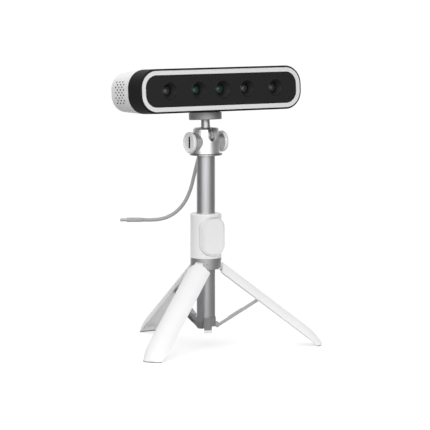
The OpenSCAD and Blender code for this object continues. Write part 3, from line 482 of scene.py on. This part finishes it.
def coated_glass(name, body, tint):
    """Dark polished glass: the coating tints what it reflects, and its depth is a little uneven."""
    material, tree, shader = start_material(name)
    place = add_node(tree, "ShaderNodeTexCoord").outputs["Object"]
    cloud = add_node(tree, "ShaderNodeTexNoise", {"Vector": place, "Scale": 1 / (4 * MM), "Detail": 1.0})
    deep = add_node(tree, "ShaderNodeMix", {"Factor": cloud.outputs["Fac"]}, data_type="RGBA")
    deep.inputs["A"].default_value = linear_colour("#262626")
    deep.inputs["B"].default_value = linear_colour(body)
    tree.links.new(deep.outputs["Result"], shader.inputs["Base Color"])
    wiped = add_node(tree, "ShaderNodeMapRange", {
        "Value": cloud.outputs["Fac"], "To Min": 0.03, "To Max": 0.07})
    tree.links.new(wiped.outputs["Result"], shader.inputs["Roughness"])
    shader.inputs["IOR"].default_value = 1.62
    shader.inputs["Specular Tint"].default_value = linear_colour(tint)
    return material


# Each looks nearly black, with a soft grey or green patch where it mirrors the room.
grey_coat = coated_glass("grey_coated_glass", "#444444", "#d8d6d4")
green_coat = coated_glass("green_coated_glass", "#33463f", "#9ad8c8")
face_front = Matrix.Rotation(math.radians(90), 4, "X")
for number, (x, radius) in enumerate(zip(LENS_X, LENS_R), 1):
    size = Matrix.Diagonal((radius / LENS_R[0], radius / LENS_R[0], 1, 1))
    place = lean @ Matrix.Translation((x * MM, GLASS_Y, HEAD_Z)) @ face_front @ size
    coat = green_coat if number in (2, 3) else grey_coat
    settle(copy_of(glass, f"lens_glass_{number}", place), coat, "scanner_head", "lens_glass", "lens_glasses")
bpy.data.objects.remove(glass)


# Trim rings: black chromed lips pressed into the window round each lens, which catch a point of light.
# One is spun from a section with a round shoulder and copied.
TRIM_R, TRIM_W, TRIM_H, TRIM_Y = 8.0 * MM, 0.7 * MM, 0.6 * MM, -33.15 * MM
bpy.ops.object.select_all(action="DESELECT")
bpy.ops.mesh.primitive_plane_add(size=1.0)
trim = bpy.context.object
start_edit(trim)
bpy.ops.transform.resize(value=(TRIM_W, TRIM_H, 1))
pick(trim, "VERT", lambda c: c[0].y > 0)
bpy.ops.mesh.bevel(offset=0.28 * MM, segments=4, affect="VERTICES")
bpy.ops.mesh.select_all(action="SELECT")
bpy.ops.transform.translate(value=(TRIM_R, 0, 0))
bpy.ops.mesh.delete(type="ONLY_FACE")
bpy.ops.mesh.select_all(action="SELECT")
bpy.ops.mesh.spin(steps=96, angle=2 * math.pi, center=(0, 0, 0), axis=(0, 1, 0))
bpy.ops.mesh.select_all(action="SELECT")
bpy.ops.mesh.remove_doubles(threshold=0.001 * MM)
end_edit(trim, "lens_trim")
# A dark mirror with a fine haze.
ring_chrome = satin_metal("black_chrome", "#3a3a3c", "#303032", 0.16, 0.4)
half_turn = Matrix.Rotation(math.pi, 4, "Z")
for number, (x, radius) in enumerate(zip(LENS_X, LENS_R), 1):
    size = Matrix.Diagonal((radius / LENS_R[0], 1, radius / LENS_R[0], 1))
    place = lean @ Matrix.Translation((x * MM, TRIM_Y, HEAD_Z)) @ half_turn @ size
    settle(copy_of(trim, f"lens_trim_{number}", place), ring_chrome, "scanner_head", "dark_window")
bpy.data.objects.remove(trim)


# Inside the head: a bench of cast and machined metal that carries the barrels, and two circuit boards,
# screwed down. The boards are a deep green with the low gloss of solder mask.
dress(cast_metal, "silver_metal", "optical_bench")
board_green = moulded_plastic("solder_mask", "#0f4a2c", "#0c3f25", 0.35, 0.8, 0.006)
dress(board_green, "circuit_board", "main_board", "light_board")


# Strain relief: soft thermoplastic, moulded round the cord and clipped into the shell's underside.
# It tapers down to the cord, with four ribs that let it bend.
CORD_TOP = Vector((12.5, 20.5, 229.5)) * MM
bpy.ops.mesh.primitive_circle_add(vertices=48, radius=2.1 * MM, fill_type="NGON", location=CORD_TOP)
relief = bpy.context.object
start_edit(relief)
RELIEF_STEPS = [
    (0.3, 1.14), (0.9, 1.03), (0.15, 0.86), (0.5, 1.0), (0.15, 1.24), (0.9, 1.03), (0.15, 0.86), (0.5, 1.0),
    (0.15, 1.24), (0.9, 1.03), (0.15, 0.88), (0.5, 1.0), (0.15, 1.22), (2.0, 1.02), (5.0, 1.0),
]
for rise, growth in RELIEF_STEPS:
    bpy.ops.mesh.extrude_region_move(TRANSFORM_OT_translate={"value": (0, 0, rise * MM)})
    bpy.ops.transform.resize(value=(growth, growth, 1))
end_edit(relief, "strain_relief")
# Duller and darker than the cord.
relief_rubber = moulded_plastic("soft_grey_elastomer", "#9c9c9c", "#8e8e8e", 0.55, 0.8, 0.02)
settle(relief, relief_rubber, "scanner_head", "pad_rubber", "cord_gland")


# Plug: a slim overmould with three grip grooves on each face, moulded round a steel shell.
# It is the same soft grey as the cord, which enters its tapered end.
PLUG_L, PLUG_W, PLUG_T, PLUG_TAPER = 16.8 * MM, 9.0 * MM, 3.9 * MM, 3.4 * MM
bpy.ops.mesh.primitive_cube_add(size=1.0)
plug = bpy.context.object
start_edit(plug)
bpy.ops.transform.resize(value=(PLUG_L - PLUG_TAPER, PLUG_W, PLUG_T))
pick(plug, "EDGE", lambda c: abs(c[0].x - c[1].x) > 5 * MM)
bpy.ops.mesh.bevel(offset=1.5 * MM, segments=6, affect="EDGES")
pick(plug, "FACE", lambda c: all(p.x < -(PLUG_L - PLUG_TAPER) / 2 + 0.1 * MM for p in c))
bpy.ops.mesh.extrude_region_move(TRANSFORM_OT_translate={"value": (-PLUG_TAPER, 0, 0)})
bpy.ops.transform.resize(value=(1, 0.52, 0.98))
for at in (-3.6, -2.8, -1.4, -0.6, 0.8, 1.6):
    bpy.ops.mesh.select_all(action="SELECT")
    bpy.ops.mesh.bisect(plane_co=(at * MM, 0, 0), plane_no=(1, 0, 0))
for low, high in ((-3.6, -2.8), (-1.4, -0.6), (0.8, 1.6)):
    pick(plug, "FACE", lambda c: all(
        (low - 0.05) * MM < p.x < (high + 0.05) * MM and abs(p.z) > PLUG_T / 2 - 0.1 * MM for p in c))
    bpy.ops.mesh.extrude_region_shrink_fatten(TRANSFORM_OT_shrink_fatten={"value": -0.35 * MM})
end_edit(plug, "plug_overmould")
plug_way = Vector((-8.0, 5.2, 0.0)).normalized()
plug_turn = Matrix.Rotation(math.atan2(plug_way.y, plug_way.x), 4, "Z")
plug_root = Matrix.Translation(Vector((-39, 57, 125)) * MM)
plug.data.transform(plug_root @ plug_turn @ Matrix.Translation(((PLUG_L + PLUG_TAPER) / 2, 0, 0)))
# Thermoplastic elastomer: a soft, even grey with a low sheen and a faint grain.
cord_jacket = moulded_plastic("extruded_elastomer_jacket", "#b2b2b2", "#a8a8a8", 0.42, 1.2, 0.03)
settle(plug, cord_jacket, "scanner_head", "cable", "plug_body")


# Plug contacts: a shell folded from steel strip and gripped by the overmould, and inside it a black
# moulded tongue that carries the contacts.
dress(flange_metal, "steel", "plug_shell")
TONGUE_L, TONGUE_W, TONGUE_T = 5.4 * MM, 5.6 * MM, 0.6 * MM
bpy.ops.mesh.primitive_cube_add(size=1.0)
tongue = bpy.context.object
start_edit(tongue)
bpy.ops.transform.resize(value=(TONGUE_L, TONGUE_W, TONGUE_T))
pick(tongue, "FACE", lambda c: all(p.x > 2 * MM for p in c))
bpy.ops.mesh.bevel(offset=0.2 * MM, segments=3, affect="EDGES")
end_edit(tongue, "plug_tongue")
tongue.data.transform(plug_root @ plug_turn @ Matrix.Translation((PLUG_L + TONGUE_L / 2, 0, 0)))
settle(tongue, guide_acetal, "scanner_head", "dark_plastic")


# Cord: a short pigtail with an extruded thermoplastic jacket, set in a stiff curve.
# It leaves the relief under the head straight down, and bends away behind the pole to its plug.
CORD_D = 3.7 * MM
CORD_ROUTE = [
    (12.5, 20.5, 229.5), (12.5, 20.5, 222), (12.2, 21.8, 213), (11.4, 23.3, 204), (9.8, 25, 195),
    (7.8, 26.9, 186.5), (6, 28, 178), (4.2, 29.2, 169.5), (2.4, 30.3, 160.5), (-0.2, 32, 151.5),
    (-3.8, 34.3, 143), (-9, 37.7, 135.3), (-15.5, 41.8, 129.6), (-23, 46.6, 126.2),
    (-31, 51.8, 125), (-39, 57, 125),
]
bpy.ops.object.select_all(action="DESELECT")
bpy.ops.curve.primitive_bezier_curve_add(enter_editmode=True, location=(0, 0, 0))
bpy.ops.curve.select_all(action="SELECT")
bpy.ops.curve.delete(type="VERT")
bpy.ops.object.mode_set(mode="OBJECT")
cord = bpy.context.object
cord.name = "pigtail_cord"
cord.data.dimensions = "3D"
spline = cord.data.splines.new("BEZIER")
spline.bezier_points.add(len(CORD_ROUTE) - 1)
for knot, point in zip(spline.bezier_points, CORD_ROUTE):
    knot.co = Vector(point) * MM
    knot.handle_left_type = "AUTO"
    knot.handle_right_type = "AUTO"
spline.resolution_u = 8
cord.data.bevel_depth = CORD_D / 2
cord.data.bevel_resolution = 6
cord.data.use_fill_caps = True
settle(cord, cord_jacket, "scanner_head", "cable", "cord")


# Remote control: white ABS case that clips into the sleeve's pocket, with its whole face as the key.
# Finer than the sleeve; its paler white is painted light that makes up for the weaker light on its face.
# Board and coin cell lie inside.
remote_abs_painted_light = moulded_plastic("fine_white_abs_painted_light", "#fbfbfb", "#f7f7f7", 0.36, 0.7, 0.01)
dress(remote_abs_painted_light, "white_plastic", "remote_case", "remote_key")
dress(board_green, "circuit_board", "remote_board")
dress(bright_steel, "steel", "coin_cell")


# Floor: a pale paper sheet. What looks at it directly or in a reflection sees it white, and its own
# grey keeps the light from below weak and leaves the object's shadow on it.
bpy.ops.object.select_all(action="DESELECT")
bpy.ops.mesh.primitive_plane_add(size=80.0, location=(0, 0, 0))
floor = bpy.context.object
floor.name = "studio_floor"


def seen_directly(tree):
    """Gives 1 for camera, glossy and transmission rays, and 0 for the others."""
    path = add_node(tree, "ShaderNodeLightPath")
    direct = add_node(tree, "ShaderNodeMath", {
        0: path.outputs["Is Camera Ray"], 1: path.outputs["Is Glossy Ray"]}, operation="MAXIMUM")
    clear = add_node(tree, "ShaderNodeMath", {
        0: direct.outputs[0], 1: path.outputs["Is Transmission Ray"]}, operation="MAXIMUM")
    return clear.outputs[0]


floor_paper, floor_tree, floor_shader = start_material("pale_paper")
floor_place = add_node(floor_tree, "ShaderNodeTexCoord").outputs["Object"]
away = add_node(floor_tree, "ShaderNodeVectorMath", {"Vector": floor_place}, operation="LENGTH")
PALE_R, GREY_R = 0.1, 0.2
outside = add_node(floor_tree, "ShaderNodeMapRange", {
    "Value": away.outputs["Value"], "From Min": PALE_R, "From Max": GREY_R})
# Pale under the stand, where it lights the insides of the legs, and grey further out.
sheet = add_node(floor_tree, "ShaderNodeMix", {"Factor": outside.outputs["Result"]}, data_type="RGBA")
sheet.inputs["A"].default_value = linear_colour("#f0f0f0")
sheet.inputs["B"].default_value = linear_colour("#707070")
floor_tree.links.new(sheet.outputs["Result"], floor_shader.inputs["Base Color"])
floor_shader.inputs["Roughness"].default_value = 0.9
floor_shader.inputs["Specular IOR Level"].default_value = 0.0
floor_shader.inputs["Emission Color"].default_value = (1.0, 1.0, 1.0, 1.0)
# The lift makes up for the grey, so that the sheet runs evenly into the white room.
lift = add_node(floor_tree, "ShaderNodeMapRange", {
    "Value": outside.outputs["Result"], "To Min": 0.32, "To Max": 0.9})
shown = add_node(floor_tree, "ShaderNodeMath", {
    0: lift.outputs["Result"], 1: seen_directly(floor_tree)}, operation="MULTIPLY")
floor_tree.links.new(shown.outputs[0], floor_shader.inputs["Emission Strength"])
floor.data.materials.append(floor_paper)


# Room and lamps: an even white room, a large soft box to the left of the camera, a weaker one to its
# right, one over the object, a tall strip behind the camera that draws the streaks down the tube, and a
# small lamp for the lenses' points of light.
world = bpy.data.worlds.new("studio_room")
bpy.context.scene.world = world
world.use_nodes = True
room = world.node_tree
room.nodes.clear()
level = add_node(room, "ShaderNodeMapRange", {"Value": seen_directly(room), "To Min": 0.8, "To Max": 1.0})
sky = add_node(room, "ShaderNodeBackground", {
    "Color": (1.0, 1.0, 1.0, 1.0), "Strength": level.outputs["Result"]})
add_node(room, "ShaderNodeOutputWorld", {"Surface": sky.outputs["Background"]})
AIM, CAMERA_SIDE = Vector((0.0, 0.0, 0.16)), -122.6


def soft_box(name, azimuth, elevation, distance, width, height, power):
    """Rectangular lamp on a stand, turned towards the object. Azimuth 0 is the camera's side."""
    data = bpy.data.lights.new(name, "AREA")
    data.shape = "RECTANGLE"
    data.size = width
    data.size_y = height
    data.energy = power
    lamp = bpy.data.objects.new(name, data)
    bearing = math.radians(CAMERA_SIDE + azimuth)
    rise = math.radians(elevation)
    lamp.location = AIM + distance * Vector((
        math.cos(bearing) * math.cos(rise), math.sin(bearing) * math.cos(rise), math.sin(rise)))
    lamp.rotation_euler = (AIM - lamp.location).to_track_quat("-Z", "Y").to_euler()
    lamp.visible_camera = False
    bpy.context.scene.collection.objects.link(lamp)
    return lamp


soft_box("key_box", -28, 19, 2.0, 0.9, 0.9, 7.4)
fill = soft_box("fill_box", 38, 22, 1.6, 0.8, 0.8, 2.2)
fill.visible_glossy = False
soft_box("strip_box", 2, 17, 1.1, 0.3, 0.9, 2)
soft_box("top_box", 0, 84, 1.8, 1.2, 1.2, 3)
spark = soft_box("spark_lamp", 30, 18, 1.3, 0.12, 0.12, 1.4)
spark.visible_diffuse = False


# Flags: two grey boards that stand beside the object on a wide foot, outside the picture. Only
# reflections show them, so that round metal gets its dark sides.
flag_board = moulded_plastic("grey_board", "#b0b0b0", "#a8a8a8", 0.9, 2.0, 0.1)
FLAG_LONG, FLAG_TALL, FLAG_FOOT, FLAG_AHEAD, FLAG_LIFT = 0.85, 0.9, 0.5, 0.03, 0.005
across = Matrix.Rotation(math.radians(CAMERA_SIDE), 4, "Z")
bpy.ops.object.select_all(action="DESELECT")
bpy.ops.mesh.primitive_plane_add(size=1.0)
flag = bpy.context.object
start_edit(flag)
bpy.ops.transform.resize(value=(FLAG_LONG, FLAG_FOOT, 1))
pick(flag, "EDGE", lambda c: all(p.y > 0.1 for p in c))
bpy.ops.mesh.extrude_region_move(TRANSFORM_OT_translate={"value": (0, 0, FLAG_TALL)})
end_edit(flag, "flag_right")
beside = Matrix.Translation((FLAG_AHEAD, FLAG_FOOT / 2, FLAG_LIFT))
far_side = Matrix.Translation((FLAG_AHEAD, -FLAG_FOOT / 2, FLAG_LIFT))
far_flag = copy_of(flag, "flag_left", across @ far_side @ half_turn)
flag.data.transform(across @ beside)
for piece in (flag, far_flag):
    piece.data.materials.clear()
    piece.data.materials.append(flag_board)
    piece.visible_camera = False
    piece.visible_diffuse = False
    piece.visible_shadow = False


# Camera: a long lens a little above the head's height, turned to the scanner's left end.
# The focal length keeps the outlines nearly parallel, as in a catalogue picture.
camera_data = bpy.data.cameras.new("catalogue_camera")
camera_data.sensor_width = 36.0
camera_data.lens = 200.93
camera = bpy.data.objects.new("catalogue_camera", camera_data)
camera.location = (-1.29052, -2.01858, 0.38599)
camera.rotation_euler = (math.radians(83.965), 0.0, math.radians(-32.81))
bpy.context.scene.collection.objects.link(camera)
bpy.context.scene.camera = camera
bpy.context.scene.view_settings.view_transform = "Standard"
